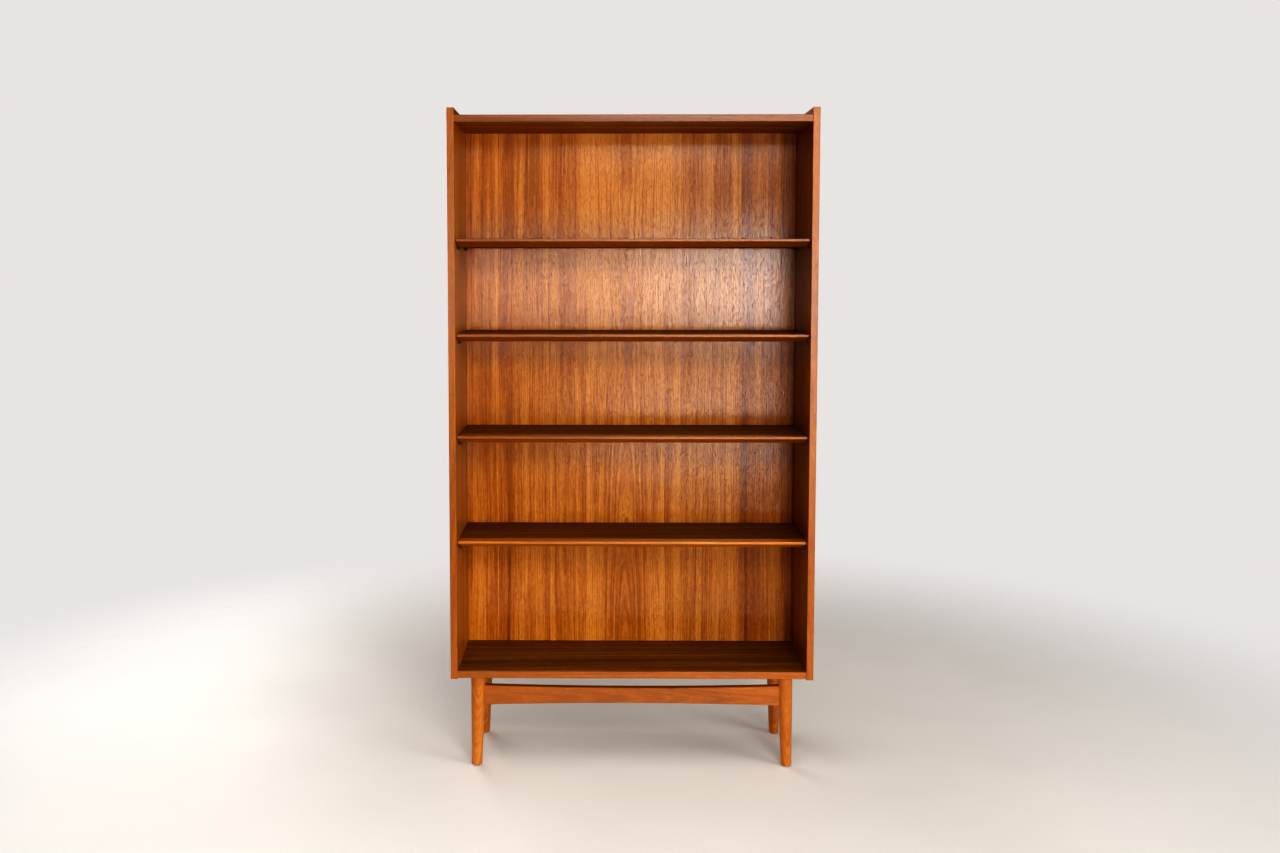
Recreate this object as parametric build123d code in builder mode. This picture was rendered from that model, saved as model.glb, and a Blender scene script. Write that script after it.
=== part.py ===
from build123d import *
import os

# Teak bookcase with four adjustable shelves, on a base of four turned legs and two rails.
#
# Every piece is built where it sits in the assembled bookcase, in millimetres. X runs
# across the case, Y from the front to the back and Z up. The origin is on the floor,
# under the centre of the case, so the front edges of the sides lie at Y = -150.
#
# The case is a box of veneered boards with solid lippings on the edges that show. The
# top and bottom are dowelled between the sides, and a thin back is screwed into a rebate.
# Each shelf lies loose on four steel pins, which push into blind holes in the sides.

# Case
CASE_WIDTH = 1000.0
CASE_DEPTH = 300.0
BOARD = 19.0                 # thickness of the sides, the top and the bottom
CASE_UNDERSIDE = 254.0       # lower face of the bottom panel above the floor
CASE_TOP = 1795.0            # upper face of the top panel above the floor
SIDE_RISE = 19.0             # the sides stand this far above the top panel
SIDE_DROP = 2.0              # and reach this far below the bottom panel
CROSS_SETBACK = 3.0          # top and bottom lie this far behind the sides' front edges
LIPPING = 8.0                # depth of the solid lippings on the front edges
EDGING = 6.0                 # height of the solid strip along the top of each side
ARRIS = 1.2                  # softened corners of the solid lippings

# Back panel
BACK_THICKNESS = 5.0
REBATE_WIDTH = 10.0          # how much of the side's thickness the rebate takes
BACK_MARGIN = 1.0            # the back stops this far short at its top and bottom
BACK_END_GAP = 0.5           # play between the back's long edges and the rebates

# Shelves
SHELF_THICKNESS = 21.0
SHELF_DEPTH = 258.0
SHELF_SETBACK = 22.0         # from the front edges of the sides
SHELF_END_GAP = 1.5          # play at each end
SHELF_NOSE = 7.0             # height of the flat front face above the bevel
SHELF_BEVEL = 33.0           # how far back the bevel runs under the shelf
SHELF_LIPPING = 38.0         # depth of the solid front piece
SHELF_TOPS = [1464.0, 1204.5, 924.5, 633.0]   # upper faces, from the highest shelf down
TONGUE_HEIGHT = 7.0
TONGUE_DEPTH = 8.0
GLUE_GAP = 0.1               # room for glue around tongues, tenons and dowels

# Shelf pins and the rows of holes they fit
PIN_RADIUS = 2.5
PIN_HOLE_GAP = 0.05          # a push fit
PIN_SHANK = 9.0
PIN_HOLE_DEPTH = 11.0
PIN_HEAD_RADIUS = 3.5
PIN_HEAD = 9.0
PIN_HEAD_FILLET = 1.0
PIN_INSET = 35.0             # from the front and back edges of the shelf
PIN_CLEARANCE = 0.3          # between a pin and the shelf above it
HOLE_PITCH = 25.0
HOLE_ROWS = 5                # rows in each cluster, the middle one in use

# Dowels between the cross panels and the sides
DOWEL_RADIUS = 4.0
DOWEL_IN_SIDE = 12.0
DOWEL_IN_PANEL = 22.0
DOWEL_PITCH = 58.0
DOWELS_PER_END = 5
DOWEL_CHAMFER = 1.0

# Screws that hold the back panel
SCREW_RADIUS = 1.5
SCREW_HEAD_RADIUS = 3.0
SCREW_LENGTH = 16.0
SCREW_TIP = 3.0
SCREW_CLEARANCE = 0.2        # hole in the back around the shank
SCREW_PILOT_GAP = 0.05
SCREW_PILOT_DEPTH = 12.0     # in the boards behind the back
SCREWS_PER_SIDE = 8
SCREW_PITCH_UPRIGHT = 205.0
SCREWS_PER_CROSS_PANEL = 4
SCREW_PITCH_ACROSS = 240.0

# Legs
LEG_TOP_RADIUS = 21.5
LEG_BOTTOM_RADIUS = 14.0
LEG_TOP_X = 426.0            # leg centres under the case
LEG_TOP_Y = 117.0
LEG_FOOT_X = 431.5           # leg centres on the floor
LEG_FOOT_Y = 123.0
LEG_OVERRUN = 12.0           # extra length that is cut off level at both ends
LEG_FOOT_ARRIS = 1.5

# Rails between the legs
RAIL_THICKNESS = 20.0
RAIL_HEIGHT_AT_LEG = 56.0
RAIL_HEIGHT_AT_MIDDLE = 43.0
RAIL_CENTRE_HEIGHT = 200.0
RAIL_CHAMFER = 1.5
TENON_THICKNESS = 10.0
TENON_HEIGHT = 32.0
TENON_STOP = 8.0             # the tenon stops this far short of the leg's axis

# Hardware in the legs
GLIDE_RADIUS = 11.0
GLIDE_THICKNESS = 3.0
GLIDE_ARRIS = 1.0
GLIDE_NAIL_RADIUS = 1.2
GLIDE_NAIL_LENGTH = 15.0
BOLT_RADIUS = 4.0
BOLT_IN_LEG = 32.0
BOLT_IN_CASE = 12.0
BOLT_CHAMFER = 0.8
INSERT_RADIUS = 6.0
INSERT_LENGTH = 14.0
INSERT_FLANGE_RADIUS = 8.0
INSERT_FLANGE = 1.5

# Worked out from the sizes above
FRONT = -CASE_DEPTH / 2
REAR = CASE_DEPTH / 2
OUTER_X = CASE_WIDTH / 2
INNER_X = OUTER_X - BOARD
SIDE_BOTTOM = CASE_UNDERSIDE - SIDE_DROP
SIDE_TOP = CASE_TOP + SIDE_RISE
BACK_FRONT = REAR - BACK_THICKNESS
CROSS_FRONT = FRONT + CROSS_SETBACK
CROSS_MID_Y = (CROSS_FRONT + LIPPING + BACK_FRONT) / 2
CROSS_MIDDLES = (CASE_UNDERSIDE + BOARD / 2, CASE_TOP - BOARD / 2)
SHELF_FRONT = FRONT + SHELF_SETBACK
SHELF_BACK = SHELF_FRONT + SHELF_DEPTH
SHELF_LENGTH = 2 * (INNER_X - SHELF_END_GAP)
PIN_ROW_Y = (SHELF_FRONT + SHELF_BACK) / 2
PIN_SPACING = SHELF_DEPTH - 2 * PIN_INSET
PIN_DROP = SHELF_THICKNESS + PIN_CLEARANCE + PIN_HEAD_RADIUS
SCREW_X = INNER_X + REBATE_WIDTH / 2
SCREW_MID_Z = (CASE_UNDERSIDE + CASE_TOP) / 2

LEFT, RIGHT = -1, 1
SIDES = {"left": LEFT, "right": RIGHT}
ENDS = {"front": -1, "rear": 1}


def save(builder, name):
    """Label a finished piece and write it to its own STEP file."""
    builder.part.label = name
    export_step(builder.part, f"parts/{name}.step")


def upright_box(x_range, y_range, z_range):
    """Add a box given by its limits along X, Y and Z to the part being built."""
    ranges = (x_range, y_range, z_range)
    with Locations(tuple(sum(limits) / 2 for limits in ranges)):
        Box(*(high - low for low, high in ranges))


def inner_face_plane(hand, depth=0.0):
    """Plane on a side's inner face, or that deep in the side, looking into the case, Y up."""
    origin = (hand * (INNER_X + depth), 0, 0)
    return Plane(origin=origin, x_dir=(0, -hand, 0), z_dir=(-hand, 0, 0))


def spread(count, pitch):
    """Evenly spaced positions, centred on zero."""
    return [(i - (count - 1) / 2) * pitch for i in range(count)]


def dowel_places(hand, panel_z):
    """Centres of the dowels at one end of a cross panel, on the inner face plane."""
    steps = spread(DOWELS_PER_END, DOWEL_PITCH)
    return [(-hand * (CROSS_MID_Y + step), panel_z) for step in steps]


def side_screw_places(hand):
    """Centres (X, Z) of the screws from the back panel into one side."""
    steps = spread(SCREWS_PER_SIDE, SCREW_PITCH_UPRIGHT)
    return [(hand * SCREW_X, SCREW_MID_Z + step) for step in steps]


def cross_screw_places(panel_z):
    """Centres (X, Z) of the screws from the back panel into the top or the bottom."""
    return [(step, panel_z) for step in spread(SCREWS_PER_CROSS_PANEL, SCREW_PITCH_ACROSS)]


def back_screw_places():
    """Centres (X, Z) of all the screws through the back panel."""
    into_sides = [place for hand in SIDES.values() for place in side_screw_places(hand)]
    into_crosses = [place for panel_z in CROSS_MIDDLES for place in cross_screw_places(panel_z)]
    return into_sides + into_crosses


# Side panels ---------------------------------------------------------------------------


def side_panel(hand):
    """Veneered side board with its rebate, shelf-pin holes, dowel holes and screw holes."""
    inner, outer = hand * INNER_X, hand * OUTER_X
    x_range = (min(inner, outer), max(inner, outer))
    rebate_x = sorted((inner, inner + hand * REBATE_WIDTH))
    with BuildPart() as side:
        upright_box(x_range, (FRONT + LIPPING, REAR), (SIDE_BOTTOM, SIDE_TOP - EDGING))
        with BuildSketch(Plane.XY.offset(CASE_UNDERSIDE)):
            with Locations((sum(rebate_x) / 2, REAR - BACK_THICKNESS / 2)):
                Rectangle(REBATE_WIDTH, BACK_THICKNESS)
        extrude(amount=CASE_TOP - CASE_UNDERSIDE, mode=Mode.SUBTRACT)
        with BuildSketch(inner_face_plane(hand)):
            for shelf_top in SHELF_TOPS:
                with Locations((-hand * PIN_ROW_Y, shelf_top - PIN_DROP)):
                    with GridLocations(PIN_SPACING, HOLE_PITCH, 2, HOLE_ROWS):
                        Circle(PIN_RADIUS + PIN_HOLE_GAP)
        extrude(amount=-PIN_HOLE_DEPTH, mode=Mode.SUBTRACT)
        with BuildSketch(inner_face_plane(hand)):
            for panel_z in CROSS_MIDDLES:
                with Locations(*dowel_places(hand, panel_z)):
                    Circle(DOWEL_RADIUS + GLUE_GAP)
        extrude(amount=-DOWEL_IN_SIDE - GLUE_GAP, mode=Mode.SUBTRACT)
        with BuildSketch(Plane.XZ.offset(-BACK_FRONT)):
            with Locations(*side_screw_places(hand)):
                Circle(SCREW_RADIUS + SCREW_PILOT_GAP)
        extrude(amount=SCREW_PILOT_DEPTH, mode=Mode.SUBTRACT)
    return side


def side_front_lipping(hand):
    """Solid strip down the front edge of a side, with softened corners."""
    x_range = sorted((hand * INNER_X, hand * OUTER_X))
    with BuildPart() as lipping:
        upright_box(x_range, (FRONT, FRONT + LIPPING), (SIDE_BOTTOM, SIDE_TOP))
        front_face = lipping.faces().sort_by(Axis.Y)[0]
        fillet(front_face.edges(), ARRIS)
    return lipping


def side_top_edging(hand):
    """Solid strip along the top edge of a side, behind the front lipping."""
    x_range = sorted((hand * INNER_X, hand * OUTER_X))
    with BuildPart() as edging:
        upright_box(x_range, (FRONT + LIPPING, REAR), (SIDE_TOP - EDGING, SIDE_TOP))
        long_edges = edging.faces().sort_by(Axis.Z)[-1].edges().filter_by(Axis.Y)
        fillet(long_edges, ARRIS)
    return edging


# Top and bottom ------------------------------------------------------------------------


def cross_panel(underside, takes_legs):
    """Board between the sides, drilled for dowels, back screws and, below, leg inserts."""
    y_range = (CROSS_FRONT + LIPPING, BACK_FRONT)
    with BuildPart() as panel:
        upright_box((-INNER_X, INNER_X), y_range, (underside, underside + BOARD))
        for hand in SIDES.values():
            with BuildSketch(inner_face_plane(hand)):
                with Locations(*dowel_places(hand, underside + BOARD / 2)):
                    Circle(DOWEL_RADIUS + GLUE_GAP)
            extrude(amount=DOWEL_IN_PANEL + GLUE_GAP, mode=Mode.SUBTRACT)
        with BuildSketch(Plane.XZ.offset(-BACK_FRONT)):
            with Locations(*cross_screw_places(underside + BOARD / 2)):
                Circle(SCREW_RADIUS + SCREW_PILOT_GAP)
        extrude(amount=SCREW_PILOT_DEPTH, mode=Mode.SUBTRACT)
        if takes_legs:
            with BuildSketch(Plane.XY.offset(underside)):
                with GridLocations(2 * LEG_TOP_X, 2 * LEG_TOP_Y, 2, 2):
                    Circle(INSERT_RADIUS + GLUE_GAP)
            extrude(amount=INSERT_LENGTH + GLUE_GAP, mode=Mode.SUBTRACT)
            with BuildSketch(Plane.XY.offset(underside)):
                with GridLocations(2 * LEG_TOP_X, 2 * LEG_TOP_Y, 2, 2):
                    Circle(INSERT_FLANGE_RADIUS + GLUE_GAP)
            extrude(amount=INSERT_FLANGE + GLUE_GAP, mode=Mode.SUBTRACT)
    return panel


def cross_lipping(underside):
    """Solid strip along the front edge of the top or the bottom panel."""
    y_range = (CROSS_FRONT, CROSS_FRONT + LIPPING)
    with BuildPart() as lipping:
        upright_box((-INNER_X, INNER_X), y_range, (underside, underside + BOARD))
        front_edges = lipping.faces().sort_by(Axis.Y)[0].edges().filter_by(Axis.X)
        fillet(front_edges, ARRIS)
    return lipping


def cross_dowels(panel_z):
    """All the dowels of one cross panel, five at each end."""
    with BuildPart() as dowels:
        for hand in SIDES.values():
            with BuildSketch(inner_face_plane(hand, DOWEL_IN_SIDE)):
                with Locations(*dowel_places(hand, panel_z)):
                    Circle(DOWEL_RADIUS)
            extrude(amount=DOWEL_IN_SIDE + DOWEL_IN_PANEL)
        chamfer(dowels.edges().filter_by(GeomType.CIRCLE), DOWEL_CHAMFER)
    return dowels


# Back panel ----------------------------------------------------------------------------


def back_panel():
    """Thin veneered sheet behind the case, countersunk for its screws."""
    half_width = INNER_X + REBATE_WIDTH - BACK_END_GAP
    z_range = (CASE_UNDERSIDE + BACK_MARGIN, CASE_TOP - BACK_MARGIN)
    with BuildPart() as back:
        upright_box((-half_width, half_width), (BACK_FRONT, REAR), z_range)
        rear_plane = Plane(origin=(0, REAR, 0), x_dir=(-1, 0, 0), z_dir=(0, 1, 0))
        with Locations(rear_plane):
            with Locations(*[(-x, z) for x, z in back_screw_places()]):
                CounterSinkHole(
                    radius=SCREW_RADIUS + SCREW_CLEARANCE,
                    counter_sink_radius=SCREW_HEAD_RADIUS + SCREW_CLEARANCE,
                    depth=BACK_THICKNESS,
                )
    return back


def back_panel_screws():
    """Countersunk wood screws, flush with the rear face of the back."""
    cone = SCREW_HEAD_RADIUS - SCREW_RADIUS
    with BuildPart() as screws:
        for x, z in back_screw_places():
            with BuildSketch(Plane(origin=(x, REAR, z), x_dir=(1, 0, 0), z_dir=(0, 0, 1))):
                with BuildLine():
                    Polyline(
                        (0, 0),
                        (SCREW_HEAD_RADIUS, 0),
                        (SCREW_RADIUS, -cone),
                        (SCREW_RADIUS, SCREW_TIP - SCREW_LENGTH),
                        (0, -SCREW_LENGTH),
                        close=True,
                    )
                make_face()
            revolve(axis=Axis((x, REAR, z), (0, 1, 0)))
    return screws


# Shelves -------------------------------------------------------------------------------


def shelf_lipping(top):
    """Solid front of a shelf: a flat nose with a long bevel under it, and a rear tongue."""
    joint_y = SHELF_FRONT + SHELF_LIPPING
    middle = top - SHELF_THICKNESS / 2
    with BuildPart() as lipping:
        with BuildSketch(Plane.YZ.offset(-SHELF_LENGTH / 2)):
            with BuildLine():
                Polyline(
                    (SHELF_FRONT, top),
                    (joint_y, top),
                    (joint_y, middle + TONGUE_HEIGHT / 2),
                    (joint_y + TONGUE_DEPTH, middle + TONGUE_HEIGHT / 2),
                    (joint_y + TONGUE_DEPTH, middle - TONGUE_HEIGHT / 2),
                    (joint_y, middle - TONGUE_HEIGHT / 2),
                    (joint_y, top - SHELF_THICKNESS),
                    (SHELF_FRONT + SHELF_BEVEL, top - SHELF_THICKNESS),
                    (SHELF_FRONT, top - SHELF_NOSE),
                    close=True,
                )
            make_face()
        extrude(amount=SHELF_LENGTH)
        nose_edges = lipping.edges().filter_by(Axis.X).group_by(Axis.Y)[0]
        fillet(nose_edges, ARRIS)
    return lipping


def shelf_board(top):
    """Veneered shelf board with a groove for the lipping's tongue."""
    half_length = SHELF_LENGTH / 2
    joint_y = SHELF_FRONT + SHELF_LIPPING
    with BuildPart() as board:
        upright_box((-half_length, half_length), (joint_y, SHELF_BACK), (top - SHELF_THICKNESS, top))
        with BuildSketch(Plane.XZ.offset(-joint_y)):
            with Locations((0, top - SHELF_THICKNESS / 2)):
                Rectangle(SHELF_LENGTH, TONGUE_HEIGHT + 2 * GLUE_GAP)
        extrude(amount=-TONGUE_DEPTH - GLUE_GAP, mode=Mode.SUBTRACT)
    return board


def shelf_pin(hand, y, z):
    """Turned steel pin: a shank in the side and a thicker head for the shelf to lie on."""
    centre = (hand * INNER_X, y, z)
    with BuildPart() as pin:
        with BuildSketch(Plane(origin=centre, x_dir=(hand, 0, 0), z_dir=(0, -hand, 0))):
            with BuildLine():
                Polyline(
                    (PIN_SHANK, 0),
                    (PIN_SHANK, PIN_RADIUS),
                    (0, PIN_RADIUS),
                    (0, PIN_HEAD_RADIUS),
                    (-PIN_HEAD, PIN_HEAD_RADIUS),
                    (-PIN_HEAD, 0),
                    close=True,
                )
            make_face()
        revolve(axis=Axis(centre, (1, 0, 0)))
        inwards_first = Axis((0, 0, 0), (hand, 0, 0))
        head_rim = pin.edges().filter_by(GeomType.CIRCLE).sort_by(inwards_first)[0]
        fillet(head_rim, PIN_HEAD_FILLET)
    return pin


# Base ----------------------------------------------------------------------------------


def leg_point(hand, end, z):
    """Point on a leg's axis at height z, where hand and end are -1 or 1."""
    down = (CASE_UNDERSIDE - z) / CASE_UNDERSIDE
    x = LEG_TOP_X + (LEG_FOOT_X - LEG_TOP_X) * down
    y = LEG_TOP_Y + (LEG_FOOT_Y - LEG_TOP_Y) * down
    return Vector(hand * x, end * y, z)


def leg_blank(hand, end, foot_height, grow=0.0):
    """Turned taper of one leg, splayed outwards and cut level under the case and at the foot."""
    crown = leg_point(hand, end, CASE_UNDERSIDE + LEG_OVERRUN)
    foot = leg_point(hand, end, -LEG_OVERRUN)
    run = foot - crown
    with BuildPart() as blank:
        with BuildSketch(Plane(origin=crown, x_dir=run, z_dir=Vector(0, 1, 0).cross(run))):
            with BuildLine():
                Polyline(
                    (0, 0),
                    (0, LEG_TOP_RADIUS + grow),
                    (run.length, LEG_BOTTOM_RADIUS + grow),
                    (run.length, 0),
                    close=True,
                )
            make_face()
        revolve(axis=Axis(crown, run))
        split(bisect_by=Plane.XY.offset(CASE_UNDERSIDE), keep=Keep.BOTTOM)
        split(bisect_by=Plane.XY.offset(foot_height), keep=Keep.TOP)
    return blank.part


def leg(hand, end):
    """One leg, with the rail's mortise, the hanger bolt's bore and the glide's nail hole."""
    blank = leg_blank(hand, end, GLIDE_THICKNESS)
    top = leg_point(hand, end, CASE_UNDERSIDE)
    foot = leg_point(hand, end, GLIDE_THICKNESS)
    rail_axis = leg_point(hand, end, RAIL_CENTRE_HEIGHT)
    mortise_bottom = rail_axis - Vector(hand * (TENON_STOP - GLUE_GAP), 0, 0)
    with BuildPart() as turned:
        add(blank)
        fillet(turned.edges().group_by(Axis.Z)[0], LEG_FOOT_ARRIS)
        with BuildSketch(Plane(origin=mortise_bottom, x_dir=(0, -hand, 0), z_dir=(-hand, 0, 0))):
            Rectangle(TENON_THICKNESS + 2 * GLUE_GAP, TENON_HEIGHT + 2 * GLUE_GAP)
        extrude(amount=LEG_TOP_RADIUS, mode=Mode.SUBTRACT)
        with BuildSketch(Plane.XY.offset(CASE_UNDERSIDE)):
            with Locations((top.X, top.Y)):
                Circle(BOLT_RADIUS + GLUE_GAP)
        extrude(amount=-BOLT_IN_LEG - GLUE_GAP, mode=Mode.SUBTRACT)
        with BuildSketch(Plane.XY.offset(GLIDE_THICKNESS)):
            with Locations((foot.X, foot.Y)):
                Circle(GLIDE_NAIL_RADIUS + GLUE_GAP)
        extrude(amount=GLIDE_NAIL_LENGTH + GLUE_GAP, mode=Mode.SUBTRACT)
    return turned


def rail(end):
    """Rail between two legs, waisted by shallow arcs, coped to the legs and tenoned into them."""
    centre = leg_point(RIGHT, end, RAIL_CENTRE_HEIGHT)
    half_end, half_middle = RAIL_HEIGHT_AT_LEG / 2, RAIL_HEIGHT_AT_MIDDLE / 2
    legs = [leg_blank(hand, end, 0, grow=GLUE_GAP) for hand in SIDES.values()]
    with BuildPart() as waisted:
        middle = (0, centre.Y, centre.Z)
        with BuildSketch(Plane(origin=middle, x_dir=(1, 0, 0), z_dir=(0, -1, 0))):
            with BuildLine():
                ThreePointArc((-centre.X, half_end), (0, half_middle), (centre.X, half_end))
                Line((centre.X, half_end), (centre.X, -half_end))
                ThreePointArc((centre.X, -half_end), (0, -half_middle), (-centre.X, -half_end))
                Line((-centre.X, -half_end), (-centre.X, half_end))
            make_face()
        extrude(amount=RAIL_THICKNESS / 2, both=True)
        chamfer(waisted.edges().filter_by(GeomType.CIRCLE), RAIL_CHAMFER)
        add(legs, mode=Mode.SUBTRACT)
        with BuildSketch(Plane.YZ.offset(TENON_STOP - centre.X)):
            with Locations((centre.Y, centre.Z)):
                Rectangle(TENON_THICKNESS, TENON_HEIGHT)
        extrude(amount=2 * (centre.X - TENON_STOP))
    return waisted


def leg_glide(hand, end):
    """Domed steel glide under a leg, with its nail."""
    foot = leg_point(hand, end, GLIDE_THICKNESS)
    with BuildPart() as glide:
        with BuildSketch(Plane.XY):
            with Locations((foot.X, foot.Y)):
                Circle(GLIDE_RADIUS)
        extrude(amount=GLIDE_THICKNESS)
        fillet(glide.edges().sort_by(Axis.Z)[0], GLIDE_ARRIS)
        with BuildSketch(Plane.XY.offset(GLIDE_THICKNESS)):
            with Locations((foot.X, foot.Y)):
                Circle(GLIDE_NAIL_RADIUS)
        extrude(amount=GLIDE_NAIL_LENGTH)
    return glide


def leg_threaded_inserts():
    """Flanged inserts in the underside of the bottom panel, one for each leg's bolt."""
    with BuildPart() as inserts:
        with BuildSketch(Plane.XY.offset(CASE_UNDERSIDE)):
            with GridLocations(2 * LEG_TOP_X, 2 * LEG_TOP_Y, 2, 2):
                Circle(INSERT_RADIUS)
        extrude(amount=INSERT_LENGTH)
        with BuildSketch(Plane.XY.offset(CASE_UNDERSIDE)):
            with GridLocations(2 * LEG_TOP_X, 2 * LEG_TOP_Y, 2, 2):
                Circle(INSERT_FLANGE_RADIUS)
        extrude(amount=INSERT_FLANGE)
        with BuildSketch(Plane.XY.offset(CASE_UNDERSIDE)):
            with GridLocations(2 * LEG_TOP_X, 2 * LEG_TOP_Y, 2, 2):
                Circle(BOLT_RADIUS + GLUE_GAP)
        extrude(amount=BOLT_IN_CASE + GLUE_GAP, mode=Mode.SUBTRACT)
    return inserts


def leg_hanger_bolts():
    """Headless bolts, half in the legs and half in the inserts."""
    with BuildPart() as bolts:
        with BuildSketch(Plane.XY.offset(CASE_UNDERSIDE - BOLT_IN_LEG)):
            with GridLocations(2 * LEG_TOP_X, 2 * LEG_TOP_Y, 2, 2):
                Circle(BOLT_RADIUS)
        extrude(amount=BOLT_IN_LEG + BOLT_IN_CASE)
        chamfer(bolts.edges().filter_by(GeomType.CIRCLE), BOLT_CHAMFER)
    return bolts


# Assembly ------------------------------------------------------------------------------

os.makedirs("parts", exist_ok=True)

for side_name, hand in SIDES.items():
    save(side_panel(hand), f"side_panel_{side_name}")
    save(side_front_lipping(hand), f"side_front_lipping_{side_name}")
    save(side_top_edging(hand), f"side_top_edging_{side_name}")

for panel_name, underside in {"top": CASE_TOP - BOARD, "bottom": CASE_UNDERSIDE}.items():
    save(cross_panel(underside, takes_legs=(panel_name == "bottom")), f"{panel_name}_panel")
    save(cross_lipping(underside), f"{panel_name}_panel_lipping")
    save(cross_dowels(underside + BOARD / 2), f"{panel_name}_panel_dowels")

save(back_panel(), "back_panel")
save(back_panel_screws(), "back_panel_screws")

for number, top in enumerate(SHELF_TOPS, start=1):
    save(shelf_board(top), f"shelf_{number}_board")
    save(shelf_lipping(top), f"shelf_{number}_lipping")
    for side_name, hand in SIDES.items():
        for end_name, end in ENDS.items():
            pin = shelf_pin(hand, PIN_ROW_Y + end * PIN_SPACING / 2, top - PIN_DROP)
            save(pin, f"shelf_{number}_pin_{end_name}_{side_name}")

for end_name, end in ENDS.items():
    save(rail(end), f"{end_name}_rail")
    for side_name, hand in SIDES.items():
        save(leg(hand, end), f"leg_{end_name}_{side_name}")
        save(leg_glide(hand, end), f"leg_glide_{end_name}_{side_name}")

save(leg_threaded_inserts(), "leg_threaded_inserts")
save(leg_hanger_bolts(), "leg_hanger_bolts")
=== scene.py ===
import math

import bpy
from mathutils import Euler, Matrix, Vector


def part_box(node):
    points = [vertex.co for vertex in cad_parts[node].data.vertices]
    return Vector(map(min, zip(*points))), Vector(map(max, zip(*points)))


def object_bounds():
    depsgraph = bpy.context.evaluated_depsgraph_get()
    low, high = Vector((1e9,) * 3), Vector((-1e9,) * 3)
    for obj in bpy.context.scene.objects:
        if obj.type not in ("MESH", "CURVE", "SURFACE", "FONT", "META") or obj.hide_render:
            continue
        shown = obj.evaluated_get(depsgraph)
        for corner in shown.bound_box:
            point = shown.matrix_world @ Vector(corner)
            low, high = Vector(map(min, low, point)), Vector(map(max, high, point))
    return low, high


# Looks of the teak bookcase: lacquered teak with growth rings, streaks and open pores on
# every board, turned legs, and the small steel and beech pieces. All sizes are in metres.

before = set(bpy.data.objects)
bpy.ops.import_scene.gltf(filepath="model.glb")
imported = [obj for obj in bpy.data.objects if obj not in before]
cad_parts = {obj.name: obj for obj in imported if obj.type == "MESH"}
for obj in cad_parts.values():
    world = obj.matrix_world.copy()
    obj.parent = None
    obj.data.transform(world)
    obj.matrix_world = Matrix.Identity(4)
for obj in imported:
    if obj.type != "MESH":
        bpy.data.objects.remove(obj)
cad_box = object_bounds()

# Camera
CAMERA_PLACE = (-0.0875, -3.5133, 1.3779)
CAMERA_PITCH = -0.0696          # radians, below the horizon
CAMERA_YAW = 0.0109             # radians, to the left of straight ahead
CAMERA_LENS = 34.99             # millimetres, on a sensor 36 mm wide
CAMERA_SHIFT = (0.0416, -0.0540)

# Surroundings
BACKDROP = (0.50, 0.485, 0.48)  # what the camera sees beyond the floor
ROOM_GLOW = (0.004, 0.004, 0.004)  # light that comes from all round

FLOOR_REACH = 9.0
FLOOR_SOLID = 1.0               # the floor fades into the backdrop beyond this radius
FLOOR_FADED = 2.8
FLOOR_COLOUR = (0.92, 0.87, 0.81)

# Teak, from the palest early wood to the darkest streak
TEAK_PALE = (0.70, 0.288, 0.046)
TEAK_WARM = (0.475, 0.146, 0.009)
TEAK_DEEP = (0.20, 0.054, 0.005)
TEAK_INK = (0.050, 0.018, 0.006)
TEAK_WORN = (0.62, 0.32, 0.13)

REAR_PALE = (0.50, 0.27, 0.13)  # backing veneer on the bare rear face
REAR_DEEP = (0.34, 0.16, 0.07)
REAR_FLECK = (0.16, 0.07, 0.03)
BEECH_PALE = (0.62, 0.42, 0.24)
BEECH_DEEP = (0.46, 0.28, 0.15)
# The pin steel is much darker than bare steel, as painted shade for the pins under the shelves.
PIN_STEEL_PAINTED_SHADE = (0.10, 0.095, 0.09)
ZINC_STEEL = (0.55, 0.56, 0.57)
BLACK = (0.0, 0.0, 0.0)

WEAR = 0.22                     # how far the arrises go towards the worn colour
WEAR_REACH = 0.0007             # how far the wear runs in from an arris
BACK_CLIMB = (0.20, 1.18)       # heights between which the back's heart changes depth

# Colour factors on red, green and blue
PLAIN = (1.0, 1.0, 1.0)
SIDE_TINT = (0.92, 1.08, 1.30)
TOP_TINT = (0.84, 0.98, 1.20)
LEVEL_PAINTED_SHADE = (0.47, 0.60, 1.00)  # painted shade: the shelves and the bottom are made darker and duller, as if in the shade of the case

# Tones: positive is paler, negative is darker
# The right side panel is darkened as painted shade, because its inner face is out of the light.
SIDE_PAINTED_SHADE = {"left": 0.0, "right": -0.15}
SIDE_LIPPING_TONE = -0.20
EDGING_TONE = 0.05
LIPPING_TONES = {"top_panel": -0.38, "bottom_panel": -0.18}
# Part of these tones is painted light: the lowest lipping is paler as a painted reflection of the
# bright floor, the higher ones darker as painted shade.
SHELF_LIPPING_TONE_AND_LIGHT = (-0.35, -0.32, -0.25, 0.14)   # from the highest shelf down
RAIL_TONE = -0.18
LEG_TONE = 0.04

# Distance between growth rings
RING = 0.0045
BACK_RING = 0.0066
RAIL_RING = 0.0040
LEG_RING = 0.0036

# Finish: base roughness added, specular level, coat weight, coat roughness, relief depth
# and strength of the wood's figure
FINISH_BACK = (0.00, 0.10, 0.75, 0.15, 0.00034, 1.00)
FINISH_SIDE = (0.04, 0.20, 0.30, 0.22, 0.00018, 0.75)
FINISH_LEVEL = (0.20, 0.10, 0.00, 0.30, 0.00015, 0.90)
FINISH_SOLID = (0.02, 0.35, 0.40, 0.25, 0.00005, 0.55)

# Which object axes run across the board, through it and along the grain
GRAIN_AXES = {
    "upright_front": (0, 1, 2),
    "upright_side": (1, 0, 2),
    "level_top": (1, 2, 0),
    "level_front": (2, 1, 0),
    "front_to_back": (0, 2, 1),
}

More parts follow.
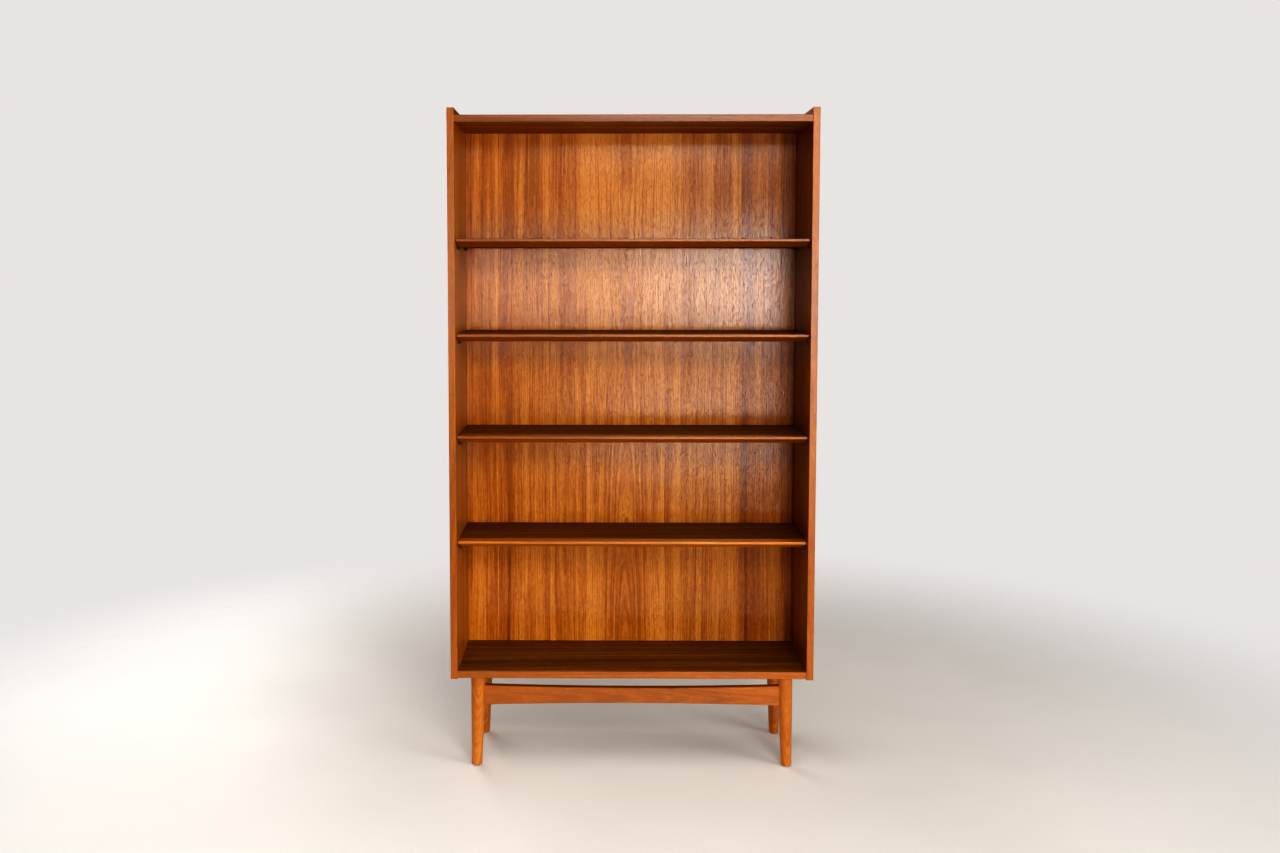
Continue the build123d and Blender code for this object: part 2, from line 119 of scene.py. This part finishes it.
# The back panel's leaves of veneer, from left to right. The tones have one entry more than
# the seams. Each seam is a place across the panel and the width of the change of tone.
SHARP, CLOSE, SOFT = 0.0006, 0.006, 0.03
BACK_SEAMS = (
    (-0.395, SHARP), (-0.388, SHARP), (-0.266, SHARP), (-0.260, SHARP), (-0.157, CLOSE),
    (-0.050, SOFT), (0.030, SOFT), (0.142, SHARP), (0.148, SHARP), (0.322, SHARP),
)
BACK_TONES = (0.02, 0.22, 0.08, 0.24, 0.10, 0.34, 0.20, 0.32, 0.42, 0.14, -0.10)

# Lights: name, place, target (None is the middle of the bookcase), size and radiance
LIGHTS = (
    ("window", (0.2, -4.6, 1.28), (0.0, 0.0, 1.3), (3.0, 0.6), 5.2),
    ("bright_window", (1.1, -4.4, 1.30), (0.0, 0.0, 1.3), (1.4, 0.7), 7.7),
    ("right_fill", (4.2, -3.0, 1.6), None, (2.0, 2.0), 5.3),
    ("low_front", (0.7, -4.0, 0.4), None, (1.6, 0.7), 4.6),
    ("high_front", (0.6, -4.0, 2.5), None, (1.6, 0.7), 9.0),
    ("left_fill", (-4.5, 1.0, 3.0), None, (3.0, 2.4), 1.0),
    ("rear_fill", (-3.3, 4.2, 1.5), None, (3.0, 1.8), 6.0),
    ("floor_fill", (0.0, -1.5, 5.0), (0.0, -1.0, 0.0), (5.0, 5.0), 1.0),
)


class Graph:
    """Adds nodes to a tree. An input is given as a socket to link or as a plain value."""

    def __init__(self, tree):
        self.tree = tree

    def add(self, kind, inputs=(), **settings):
        node = self.tree.nodes.new(kind)
        for name, value in settings.items():
            setattr(node, name, value)
        for key, value in dict(inputs).items():
            self.feed(node.inputs[key], value)
        return node

    def feed(self, socket, value):
        if isinstance(value, bpy.types.NodeSocket):
            self.tree.links.new(value, socket)
        else:
            socket.default_value = value

    def math(self, operation, *values, clamp=False):
        node = self.add("ShaderNodeMath", enumerate(values), operation=operation)
        node.use_clamp = clamp
        return node.outputs[0]

    def vector(self, operation, *values):
        node = self.add("ShaderNodeVectorMath", operation=operation)
        for socket, value in zip(node.inputs, values):
            self.feed(socket, value)
        return node.outputs["Vector"]

    def length(self, value):
        node = self.add("ShaderNodeVectorMath", {0: value}, operation="LENGTH")
        return node.outputs["Value"]

    def split(self, value):
        return self.add("ShaderNodeSeparateXYZ", {0: value}).outputs

    def join(self, x, y, z):
        return self.add("ShaderNodeCombineXYZ", {0: x, 1: y, 2: z}).outputs[0]

    def noise(self, place, stretch, detail=2.0, roughness=0.5):
        """Noise from about 0 to 1 whose scale along each axis is given by stretch."""
        scaled = self.vector("MULTIPLY", place, stretch)
        inputs = {"Vector": scaled, "Scale": 1.0, "Detail": detail, "Roughness": roughness}
        return self.add("ShaderNodeTexNoise", inputs).outputs[0]

    def ramp(self, value, low, high, start=0.0, end=1.0, smooth=True):
        """Value from low to high, turned into start to end."""
        inputs = {"Value": value, "From Min": low, "From Max": high, "To Min": start, "To Max": end}
        kind = "SMOOTHSTEP" if smooth else "LINEAR"
        return self.add("ShaderNodeMapRange", inputs, interpolation_type=kind).outputs["Result"]

    def blend(self, share, first, second):
        node = self.add("ShaderNodeMix", data_type="RGBA")
        self.feed(node.inputs[0], share)
        for socket, value in ((node.inputs[6], first), (node.inputs[7], second)):
            self.feed(socket, value if isinstance(value, bpy.types.NodeSocket) else (*value, 1.0))
        return node.outputs[2]

    def scale_colour(self, colour, factor):
        return self.vector("MULTIPLY", colour, self.join(factor, factor, factor))

    def bump(self, height, distance):
        inputs = {"Height": height, "Distance": distance, "Strength": 1.0}
        return self.add("ShaderNodeBump", inputs).outputs["Normal"]


# Wood ----------------------------------------------------------------------------------


def new_group(name, inputs, outputs):
    """Empty node group with the named inputs and outputs, given as {name: socket kind}."""
    tree = bpy.data.node_groups.new(name, "ShaderNodeTree")
    for direction, sockets in (("INPUT", inputs), ("OUTPUT", outputs)):
        for socket_name, kind in sockets.items():
            tree.interface.new_socket(socket_name, in_out=direction, socket_type=f"NodeSocket{kind}")
    graph = Graph(tree)
    given = tree.nodes.new("NodeGroupInput").outputs
    result = tree.nodes.new("NodeGroupOutput").inputs
    return tree, graph, given, result


def teak_group():
    """Teak in grain coordinates: X across the board, Y through it and Z along the grain.

    Growth rings are shells around a leaning heart line. They are warped by slow noise, and
    the streaks and mineral lines follow them, so flat-sawn faces show cathedral figure.
    """
    inputs = {"Place": "Vector", "Heart": "Vector", "Lean": "Vector"}
    inputs.update((name, "Float") for name in ("Climb", "Seed", "Ring", "Tone", "Contrast"))
    outputs = {"Color": "Color", "Roughness": "Float", "Height": "Float"}
    tree, g, given, result = new_group("teak", inputs, outputs)

    seed = given["Seed"]
    shift = g.join(seed, g.math("MULTIPLY", seed, 1.7), g.math("MULTIPLY", seed, 2.3))
    place = g.vector("ADD", given["Place"], shift)
    across, through, along = g.split(given["Place"])[0:3]

    # Distance from the heart line, with slow and quick wander
    heart = g.split(given["Heart"])
    lean = g.split(given["Lean"])
    slow = g.math("SUBTRACT", g.noise(place, (5.0, 5.0, 0.7), 2.0), 0.5)
    quick = g.math("SUBTRACT", g.noise(place, (45.0, 45.0, 7.0), 2.0), 0.5)
    wander = g.math("ADD", g.math("MULTIPLY", slow, 0.036), g.math("MULTIPLY", quick, 0.0042))
    side = g.math("SUBTRACT", across, g.math("MULTIPLY_ADD", along, lean[0], heart[0]))
    deep = g.math("SUBTRACT", through, g.math("MULTIPLY_ADD", given["Climb"], lean[1], heart[1]))
    radius = g.math("ADD", g.length(g.join(side, deep, 0.0)), wander)

    # Growth rings: a slow rise to dark late wood, then a quick return to pale early wood
    uneven = g.add(
        "ShaderNodeTexNoise", {"W": g.math("MULTIPLY", radius, 75.0), "Scale": 1.0, "Detail": 1.0},
        noise_dimensions="1D",
    )
    phase = g.math("MULTIPLY_ADD", uneven.outputs[0], 1.6, g.math("DIVIDE", radius, given["Ring"]))
    turn = g.math("FRACT", phase)
    rise = g.math("POWER", g.ramp(turn, 0.15, 0.93), 1.6)
    ring = g.math("MULTIPLY", rise, g.ramp(turn, 0.93, 1.0, 1.0, 0.0))
    each = g.add("ShaderNodeTexWhiteNoise", {"W": g.math("FLOOR", phase)}, noise_dimensions="1D")
    ring = g.math("MULTIPLY", ring, g.ramp(each.outputs[0], 0.0, 1.0, 0.25, 1.0, smooth=False))

    # Streaks that follow the rings
    follow = g.join(radius, 0.0, g.math("ADD", along, seed))
    fine = g.noise(follow, (300.0, 1.0, 5.0), 3.0, 0.7)
    middle = g.noise(follow, (64.0, 1.0, 1.4), 4.0, 0.68)
    broad = g.noise(follow, (24.0, 1.0, 0.7), 2.0, 0.5)
    mineral = g.ramp(g.noise(follow, (190.0, 1.0, 1.6), 1.0, 0.5), 0.69, 0.80)

    # Open pores, crowded in the early wood, and a faint ripple across the grain
    dashes = g.noise(place, (1900.0, 1900.0, 95.0), 1.0, 0.5)
    crowd = g.ramp(turn, 0.0, 0.4, 0.55, 0.64)
    pore = g.ramp(g.math("SUBTRACT", dashes, crowd), 0.0, 0.07)
    broken = g.ramp(g.noise(place, (230.0, 230.0, 32.0), 2.0, 0.6), 0.30, 0.70, smooth=False)
    ripple = g.noise(place, (30.0, 30.0, 55.0), 2.0, 0.5)

    # Pin knots, a few to the square metre
    cell = g.vector("MULTIPLY", place, (5.0, 5.0, 2.4))
    spot = g.add("ShaderNodeTexVoronoi", {"Vector": cell, "Scale": 1.0})
    rare = g.math("GREATER_THAN", g.split(spot.outputs["Color"])[0], 0.72)
    knot = g.math("MULTIPLY", g.ramp(spot.outputs["Distance"], 0.0, 0.016, 1.0, 0.0), rare)

    # Colour
    dark = g.math("MULTIPLY", ring, 0.42)
    for streak, low, weight in ((fine, 0.33, 0.34), (middle, 0.32, 0.58), (broad, 0.30, 0.50)):
        level = g.ramp(streak, low, 1.0 - low, smooth=False)
        dark = g.math("MULTIPLY_ADD", level, weight, dark)
    dark = g.math("MULTIPLY_ADD", broken, 0.20, dark)
    dark = g.math("MULTIPLY", g.math("SUBTRACT", dark, 0.95), given["Contrast"])
    dark = g.math("ADD", dark, g.math("SUBTRACT", 0.58, given["Tone"]))
    pale_to_warm = g.blend(g.ramp(dark, 0.05, 0.50, smooth=False), TEAK_PALE, TEAK_WARM)
    colour = g.blend(g.ramp(dark, 0.50, 1.10, smooth=False), pale_to_warm, TEAK_DEEP)
    colour = g.blend(g.math("MULTIPLY", mineral, 0.45), colour, TEAK_INK)
    colour = g.blend(g.math("MULTIPLY", pore, 0.45), colour, TEAK_INK)
    colour = g.blend(g.math("MULTIPLY", knot, 0.85), colour, TEAK_INK)
    shimmer = g.ramp(ripple, 0.25, 0.75, 0.95, 1.05, smooth=False)
    g.feed(result["Color"], g.scale_colour(colour, shimmer))

    # Satin lacquer, thinner over the pores
    rough = g.ramp(fine, 0.25, 0.75, 0.30, 0.42, smooth=False)
    rough = g.math("MULTIPLY_ADD", ripple, 0.06, rough)
    g.feed(result["Roughness"], g.math("MULTIPLY_ADD", pore, 0.20, rough, clamp=True))
    relief = g.math("MULTIPLY", ripple, 0.06)
    for part, weight in ((fine, 0.45), (broken, -0.55), (pore, -0.9), (ring, -0.12)):
        relief = g.math("MULTIPLY_ADD", part, weight, relief)
    g.feed(result["Height"], relief)
    return tree


def edge_group():
    """How close a point is to an edge of its board's box: 1 on the edge, 0 inside the face."""
    inputs = {"Centre": "Vector", "Half": "Vector", "Reach": "Float"}
    tree, g, given, result = new_group("edges", inputs, {"Edge": "Float"})
    here = g.add("ShaderNodeTexCoord").outputs["Object"]
    from_centre = g.vector("ABSOLUTE", g.vector("SUBTRACT", here, given["Centre"]))
    gap = g.vector("SUBTRACT", from_centre, given["Half"])
    x, y, z = g.split(gap)[0:3]
    nearer = g.math("MAXIMUM", g.math("MINIMUM", x, y), g.math("MINIMUM", g.math("MAXIMUM", x, y), z))
    ragged = g.noise(here, (90.0, 90.0, 90.0), 3.0, 0.6)
    reach = g.math("MULTIPLY", given["Reach"], g.ramp(ragged, 0.35, 0.75, 0.0, 2.0, smooth=False))
    g.feed(result["Edge"], g.ramp(g.math("ADD", nearer, reach), 0.0, 0.0006))
    return tree


def grain_place(g, grain):
    here = g.split(g.add("ShaderNodeTexCoord").outputs["Object"])
    return g.join(*(here[axis] for axis in GRAIN_AXES[grain]))


def principled(g, **values):
    """Principled shader wired to the material's output. Keys are socket names with underscores."""
    output = g.add("ShaderNodeOutputMaterial")
    shader = g.add("ShaderNodeBsdfPrincipled")
    for name, value in values.items():
        g.feed(shader.inputs[name.replace("_", " ")], value)
    g.tree.links.new(shader.outputs[0], output.inputs[0])
    return shader


def new_material(name):
    material = bpy.data.materials.new(name)
    material.use_nodes = True
    material.node_tree.nodes.clear()
    return material, Graph(material.node_tree)


def leaf_tone(g, across, seams, tones):
    """Tone that changes around each (place, width) in seams. Tones has one more entry."""
    tone = g.math("ADD", 0.0, tones[0])
    for (seam, width), before, after in zip(seams, tones, tones[1:]):
        step = g.ramp(across, seam - width / 2, seam + width / 2)
        tone = g.math("MULTIPLY_ADD", step, after - before, tone)
    return tone


def teak(
    node, grain, heart, finish, lean=(0.0, 0.0), ring=RING,
    tone=0.0, seams=(), tones=(), tint=PLAIN, rear=False,
):
    """Lacquered teak for one board. Heart and lean are in its grain coordinates.

    The lean is how far the heart line moves across and through the board for each metre
    along the grain. The rear flag is for the back panel, whose other face is bare.
    """
    dullness, specular, coat, coat_roughness, depth, contrast = finish
    low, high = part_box(node)
    material, g = new_material(f"teak_{node}")
    place = grain_place(g, grain)
    across, _, along = g.split(place)[0:3]
    leaf = leaf_tone(g, across, seams, tones) if seams else tone
    climb = g.ramp(along, *BACK_CLIMB, *BACK_CLIMB) if rear else along
    seed = sorted(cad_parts).index(node) * 0.37
    inputs = {
        "Place": place, "Heart": (*heart, 0.0), "Lean": (*lean, 0.0), "Climb": climb,
        "Seed": seed, "Ring": ring, "Tone": leaf, "Contrast": contrast,
    }
    wood = g.add("ShaderNodeGroup", node_tree=TEAK)
    for name, value in inputs.items():
        g.feed(wood.inputs[name], value)
    edges = g.add("ShaderNodeGroup", node_tree=EDGES)
    sizes = {"Centre": (low + high) / 2, "Half": (high - low) / 2, "Reach": WEAR_REACH}
    for name, value in sizes.items():
        g.feed(edges.inputs[name], value)
    edge = edges.outputs["Edge"]
    # The tint carries the painted shade of the shelves and the bottom.
    tinted = g.vector("MULTIPLY", wood.outputs["Color"], tint)
    colour = g.blend(g.math("MULTIPLY", edge, WEAR), tinted, TEAK_WORN)
    rough = g.math("MULTIPLY_ADD", edge, 0.18, g.math("ADD", wood.outputs["Roughness"], dullness))
    if rear:
        colour, rough = bare_rear(g, place, colour, rough)
    relief = g.bump(wood.outputs["Height"], depth)
    principled(
        g, Base_Color=colour, Roughness=rough, Specular_IOR_Level=specular,
        Coat_Weight=coat, Coat_Roughness=coat_roughness, Coat_IOR=1.5,
        Normal=relief, Coat_Normal=relief,
    )
    return material


def bare_rear(g, place, colour, rough):
    """Rear face of the back panel: a plain backing veneer, paler and rougher than the front."""
    facing = g.split(g.add("ShaderNodeTexCoord").outputs["Normal"])[1]
    behind = g.math("GREATER_THAN", facing, 0.5)
    bands = g.noise(place, (60.0, 60.0, 1.2), 4.0, 0.6)
    pale = g.blend(g.ramp(bands, 0.3, 0.7, smooth=False), REAR_PALE, REAR_DEEP)
    flecks = g.ramp(g.noise(place, (900.0, 900.0, 50.0), 1.0), 0.60, 0.70)
    pale = g.blend(g.math("MULTIPLY", flecks, 0.4), pale, REAR_FLECK)
    dull = g.ramp(behind, 0.0, 1.0, 0.0, 0.35, smooth=False)
    return g.blend(behind, colour, pale), g.math("ADD", rough, dull, clamp=True)


TEAK = teak_group()
EDGES = edge_group()


# Metal and beech -----------------------------------------------------------------------


def turned_steel(name, colour, roughness, axis):
    """Dulled steel with fine rings from turning around the given object axis."""
    material, g = new_material(name)
    here = g.add("ShaderNodeTexCoord").outputs["Object"]
    grooves = g.noise(here, tuple(9000.0 if i == axis else 20.0 for i in range(3)), 1.0)
    stain = g.noise(here, (260.0, 260.0, 260.0), 4.0, 0.6)
    shade = g.ramp(stain, 0.3, 0.7, 0.72, 1.05)
    tint = g.blend(1.0, BLACK, colour)
    principled(
        g, Base_Color=g.scale_colour(tint, shade), Metallic=1.0,
        Roughness=g.ramp(stain, 0.3, 0.7, roughness - 0.08, roughness + 0.14),
        Normal=g.bump(g.math("ADD", grooves, stain), 0.00004),
    )
    return material


def beech():
    """Plain beech dowels with short pores along X."""
    material, g = new_material("beech")
    here = g.add("ShaderNodeTexCoord").outputs["Object"]
    bands = g.noise(here, (15.0, 300.0, 300.0), 3.0)
    colour = g.blend(bands, BEECH_PALE, BEECH_DEEP)
    rough = g.ramp(bands, 0.3, 0.7, 0.5, 0.65)
    principled(g, Base_Color=colour, Roughness=rough, Normal=g.bump(bands, 0.0001))
    return material


# Dressing the nodes --------------------------------------------------------------------


def dress(node, material):
    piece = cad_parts[node]
    for material_slot in piece.material_slots:
        material_slot.material = material


def veneered(node, grain, heart, finish, **figure):
    dress(node, teak(node, grain, heart, finish, **figure))


def solid(node, grain, heart, **figure):
    dress(node, teak(node, grain, heart, FINISH_SOLID, **figure))


def dress_case():
    back_heart = (-0.010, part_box("back_panel")[0].y + 0.015)
    back = teak(
        "back_panel", "upright_front", back_heart, FINISH_BACK, lean=(0.0, 0.030),
        ring=BACK_RING, seams=BACK_SEAMS, tones=BACK_TONES, rear=True,
    )
    dress("back_panel", back)
    for hand, side in ((-1, "left"), (1, "right")):
        veneered(
            f"side_panel_{side}", "upright_side", (-0.26, hand * 0.46), FINISH_SIDE,
            lean=(0.03, 0.0), tone=SIDE_PAINTED_SHADE[side], tint=SIDE_TINT,
        )
        solid(
            f"side_front_lipping_{side}", "upright_front", (hand * 0.46, -0.02),
            lean=(0.01, 0.02), tone=SIDE_LIPPING_TONE,
        )
        solid(f"side_top_edging_{side}", "front_to_back", (hand * 0.44, 1.75), tone=EDGING_TONE)
    for panel, tint in (("top_panel", TOP_TINT), ("bottom_panel", LEVEL_PAINTED_SHADE)):
        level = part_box(panel)[0].z
        veneered(
            panel, "level_top", (0.30, level - 0.05), FINISH_LEVEL, lean=(0.04, 0.0), tint=tint,
        )
        solid(
            f"{panel}_lipping", "level_front", (level - 0.06, -0.10),
            lean=(0.01, 0.02), tone=LIPPING_TONES[panel],
        )


def dress_shelves():
    # Each lipping's tone carries painted light, paler towards the floor.
    for number, tone in enumerate(SHELF_LIPPING_TONE_AND_LIGHT, start=1):
        board = f"shelf_{number}_board"
        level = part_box(board)[0].z
        veneered(
            board, "level_top", (0.26, level - 0.04 * number), FINISH_LEVEL,
            lean=(0.03, 0.0), tint=LEVEL_PAINTED_SHADE,
        )
        solid(
            f"shelf_{number}_lipping", "level_front", (level - 0.05, -0.03),
            lean=(0.008, 0.02), tone=tone,
        )


def dress_base():
    for end in ("front", "rear"):
        low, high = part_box(f"{end}_rail")
        heart = ((low.z + high.z) / 2 - 0.01, high.y + 0.030)
        solid(f"{end}_rail", "level_front", heart, lean=(0.0, 0.03), ring=RAIL_RING, tone=RAIL_TONE)
        for side in ("left", "right"):
            leg = f"leg_{end}_{side}"
            low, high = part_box(leg)
            heart = ((low.x + high.x) / 2, high.y + 0.020)
            solid(leg, "upright_front", heart, lean=(0.0, 0.10), ring=LEG_RING, tone=LEG_TONE)


def dress_small_pieces():
    # The pins and screws get the darkened steel, painted shade for the pins under the shelves.
    pin = turned_steel("pin_steel_painted_shade", PIN_STEEL_PAINTED_SHADE, 0.45, axis=0)
    glide = turned_steel("glide_steel", ZINC_STEEL, 0.34, axis=2)
    dowel = beech()
    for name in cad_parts:
        if "_pin_" in name or name == "back_panel_screws":
            dress(name, pin)
        elif name.startswith(("leg_glide", "leg_threaded", "leg_hanger")):
            dress(name, glide)
        elif name.endswith("_dowels"):
            dress(name, dowel)


# Stage ---------------------------------------------------------------------------------


def make_floor():
    """Pale matt floor that fades into the backdrop around the bookcase."""
    mesh = bpy.data.meshes.new("floor")
    r = FLOOR_REACH
    mesh.from_pydata([(-r, -r, 0), (r, -r, 0), (r, r, 0), (-r, r, 0)], [], [(0, 1, 2, 3)])
    floor = bpy.data.objects.new("floor", mesh)
    bpy.context.scene.collection.objects.link(floor)
    material, g = new_material("floor")
    here = g.add("ShaderNodeTexCoord").outputs["Object"]
    cloud = g.noise(here, (1.1, 1.1, 1.1), 3.0)
    shade = g.ramp(cloud, 0.3, 0.7, 0.97, 1.03)
    colour = g.scale_colour(g.blend(1.0, BLACK, FLOOR_COLOUR), shade)
    shader = principled(g, Base_Color=colour, Roughness=0.55, Specular_IOR_Level=0.3)
    clear = g.add("ShaderNodeBsdfTransparent")
    fade = g.ramp(g.length(here), FLOOR_SOLID, FLOOR_FADED)
    mixed = g.add("ShaderNodeMixShader", {0: fade, 1: shader.outputs[0], 2: clear.outputs[0]})
    output = shader.outputs[0].links[0].to_node
    g.tree.links.new(mixed.outputs[0], output.inputs[0])
    mesh.materials.append(material)


def make_world():
    """Plain backdrop for the camera, and a dimmer even glow for the surfaces."""
    world = bpy.data.worlds.new("studio")
    bpy.context.scene.world = world
    world.use_nodes = True
    world.node_tree.nodes.clear()
    g = Graph(world.node_tree)
    seen = g.add("ShaderNodeLightPath").outputs["Is Camera Ray"]
    colour = g.blend(seen, ROOM_GLOW, BACKDROP)
    background = g.add("ShaderNodeBackground", {"Color": colour, "Strength": 1.0})
    g.add("ShaderNodeOutputWorld", {"Surface": background.outputs[0]})


def make_light(name, place, target, size, radiance):
    """Soft rectangular light of the given width, height and brightness, facing the target."""
    data = bpy.data.lights.new(name, "AREA")
    data.shape = "RECTANGLE"
    data.size, data.size_y = size
    data.energy = radiance * math.pi * size[0] * size[1]
    light = bpy.data.objects.new(name, data)
    bpy.context.scene.collection.objects.link(light)
    light.location = place
    light.rotation_euler = (Vector(target) - Vector(place)).to_track_quat("-Z", "Y").to_euler()


def make_camera():
    data = bpy.data.cameras.new("camera")
    data.sensor_width = 36.0
    data.lens = CAMERA_LENS
    data.shift_x, data.shift_y = CAMERA_SHIFT
    camera = bpy.data.objects.new("camera", data)
    bpy.context.scene.collection.objects.link(camera)
    camera.location = CAMERA_PLACE
    camera.rotation_euler = Euler((math.pi / 2 + CAMERA_PITCH, 0.0, CAMERA_YAW))
    bpy.context.scene.camera = camera


dress_case()
dress_shelves()
dress_base()
dress_small_pieces()

make_floor()
make_world()
middle = (cad_box[0] + cad_box[1]) / 2
for light, place, target, size, radiance in LIGHTS:
    make_light(light, place, target or middle, size, radiance)
make_camera()

view = bpy.context.scene.view_settings
view.view_transform = "Standard"
view.look = "Very High Contrast"
